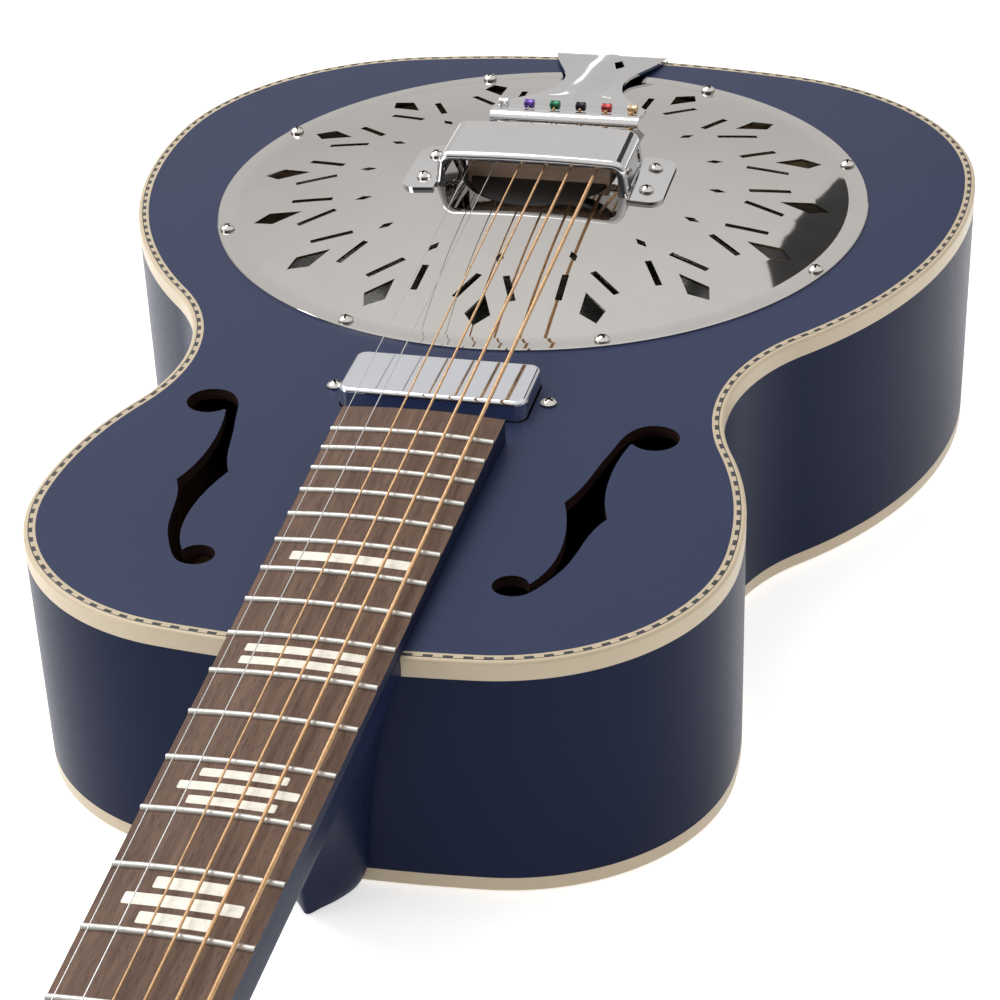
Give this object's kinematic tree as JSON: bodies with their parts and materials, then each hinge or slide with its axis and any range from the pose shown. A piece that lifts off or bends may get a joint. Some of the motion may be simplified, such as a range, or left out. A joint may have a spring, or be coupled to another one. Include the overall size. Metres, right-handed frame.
{
  "type": "resonator guitar",
  "caption": "Parlour-size resonator guitar with biscuit bridge, domed metal coverplate, trapeze tailpiece, neck pickup and geared tuners that turn.",
  "frame": {"origin": "on the outer face of the flat back, directly below the bridge saddle", "axes": "+Y runs along the guitar from headstock to tail, +Z points out of the top, +X is the bass side"},
  "size_m": [0.3342, 0.9809, 0.1264],
  "materials": {
    "navy_satin": "satin navy lacquer",
    "navy_gloss": "satin navy lacquer over wood",
    "cream_binding": "cream plastic binding",
    "block_purfling": "cream and black block purfling",
    "spruce_inside": "unfinished",
    "mahogany_inside": "unfinished",
    "maple_ply": "unfinished maple plywood",
    "spun_aluminium": "spun",
    "black_biscuit": "black stained maple",
    "zinc_screw": "zinc plated",
    "maple_saddle": "oiled maple",
    "coverplate_nickel": "polished nickel plate",
    "nickel_screw": "nickel plated",
    "chrome": "polished chrome",
    "pickup_chrome": "polished chrome",
    "black_plastic": "moulded",
    "copper_coil": "enamelled winding",
    "brass_plate": "plain",
    "black_lead": "insulated",
    "neck_navy": "satin navy lacquer",
    "steel_rod": "plain",
    "rosewood": "oiled rosewood",
    "fret_wire": "nickel silver",
    "pearloid": "cream pearloid",
    "bone": "polished bone",
    "head_overlay": "navy lacquer",
    "cover_black": "black",
    "tuner_nickel": "nickel plated",
    "tuner_post": "nickel plated",
    "tuner_worm": "nickel plated",
    "button_cream": "cream plastic",
    "plain_steel": "plain steel",
    "bronze_wound": "bronze wound",
    "ball_end": "coloured brass"
  },
  "bodies": {
    "guitar": {"top_plate": "navy_satin", "back_plate": "navy_satin", "side_rim": "navy_gloss", "top_binding": "cream_binding", "top_purfling": "block_purfling", "back_binding": "cream_binding", "linings": "spruce_inside", "neck_block": "mahogany_inside", "tail_block": "mahogany_inside", "soundwell": "maple_ply", "resonator_cone": "spun_aluminium", "biscuit": "black_biscuit", "biscuit_screw": "zinc_screw", "saddle": "maple_saddle", "coverplate": "coverplate_nickel", "cover_screws": "nickel_screw", "hand_rest": "chrome", "tailpiece": "chrome", "tailpiece_screws": "nickel_screw", "end_pin_jack": "chrome", "pickup_cover": "pickup_chrome", "pickup_bobbin": "black_plastic", "pickup_coil": "copper_coil", "pickup_baseplate": "brass_plate", "pickup_screws": "nickel_screw", "pickup_lead": "black_lead", "neck": "neck_navy", "truss_rod": "steel_rod", "neck_bolts": "zinc_screw", "fretboard": "rosewood", "fretboard_extension": "neck_navy", "frets": "fret_wire", "fret_markers": "pearloid", "nut": "bone", "headstock_overlay": "head_overlay", "truss_rod_cover": "cover_black", "headstock_screws": "nickel_screw", "tuner_plates": "tuner_nickel", "tuner_bushings": "tuner_nickel", "plain_strings": "plain_steel", "wound_strings": "bronze_wound", "ball_ends": "ball_end"},
    "knob_1": {"tuner_shaft_1": "tuner_worm", "tuner_button_1": "button_cream"},
    "post_1": {"tuner_post_1": "tuner_post"},
    "knob_2": {"tuner_shaft_2": "tuner_worm", "tuner_button_2": "button_cream"},
    "post_2": {"tuner_post_2": "tuner_post"},
    "knob_3": {"tuner_shaft_3": "tuner_worm", "tuner_button_3": "button_cream"},
    "post_3": {"tuner_post_3": "tuner_post"},
    "knob_4": {"tuner_shaft_4": "tuner_worm", "tuner_button_4": "button_cream"},
    "post_4": {"tuner_post_4": "tuner_post"},
    "knob_5": {"tuner_shaft_5": "tuner_worm", "tuner_button_5": "button_cream"},
    "post_5": {"tuner_post_5": "tuner_post"},
    "knob_6": {"tuner_shaft_6": "tuner_worm", "tuner_button_6": "button_cream"},
    "post_6": {"tuner_post_6": "tuner_post"}
  },
  "joints": [
    {"name": "knob_turn_1", "type": "hinge", "parent": "guitar", "child": "knob_1", "pos_m": [-0.02154, -0.68835, 0.03311], "axis": [1, 0, 0], "continuous": true},
    {"name": "post_turn_1", "type": "hinge", "parent": "guitar", "child": "post_1", "pos_m": [-0.02154, -0.68008, 0.03548], "axis": [0, -0.2758, 0.9612], "continuous": true},
    {"name": "knob_turn_2", "type": "hinge", "parent": "guitar", "child": "knob_2", "pos_m": [-0.02154, -0.7268, 0.02207], "axis": [1, 0, 0], "continuous": true},
    {"name": "post_turn_2", "type": "hinge", "parent": "guitar", "child": "post_2", "pos_m": [-0.02154, -0.71853, 0.02445], "axis": [0, -0.2758, 0.9612], "continuous": true},
    {"name": "knob_turn_3", "type": "hinge", "parent": "guitar", "child": "knob_3", "pos_m": [-0.02154, -0.76525, 0.01104], "axis": [1, 0, 0], "continuous": true},
    {"name": "post_turn_3", "type": "hinge", "parent": "guitar", "child": "post_3", "pos_m": [-0.02154, -0.75698, 0.01341], "axis": [0, -0.2758, 0.9612], "continuous": true},
    {"name": "knob_turn_4", "type": "hinge", "parent": "guitar", "child": "knob_4", "pos_m": [0.02446, -0.76525, 0.01104], "axis": [1, 0, 0], "continuous": true},
    {"name": "post_turn_4", "type": "hinge", "parent": "guitar", "child": "post_4", "pos_m": [0.02446, -0.75698, 0.01341], "axis": [0, -0.2758, 0.9612], "continuous": true},
    {"name": "knob_turn_5", "type": "hinge", "parent": "guitar", "child": "knob_5", "pos_m": [0.02446, -0.7268, 0.02207], "axis": [1, 0, 0], "continuous": true},
    {"name": "post_turn_5", "type": "hinge", "parent": "guitar", "child": "post_5", "pos_m": [0.02446, -0.71853, 0.02445], "axis": [0, -0.2758, 0.9612], "continuous": true},
    {"name": "knob_turn_6", "type": "hinge", "parent": "guitar", "child": "knob_6", "pos_m": [0.02446, -0.68835, 0.03311], "axis": [1, 0, 0], "continuous": true},
    {"name": "post_turn_6", "type": "hinge", "parent": "guitar", "child": "post_6", "pos_m": [0.02446, -0.68008, 0.03548], "axis": [0, -0.2758, 0.9612], "continuous": true}
  ],
  "couplings": [
    {"joint": "post_turn_1", "follows": "knob_turn_1", "ratio": 0.071429},
    {"joint": "post_turn_2", "follows": "knob_turn_2", "ratio": 0.071429},
    {"joint": "post_turn_3", "follows": "knob_turn_3", "ratio": 0.071429},
    {"joint": "post_turn_4", "follows": "knob_turn_4", "ratio": -0.071429},
    {"joint": "post_turn_5", "follows": "knob_turn_5", "ratio": -0.071429},
    {"joint": "post_turn_6", "follows": "knob_turn_6", "ratio": -0.071429}
  ]
}
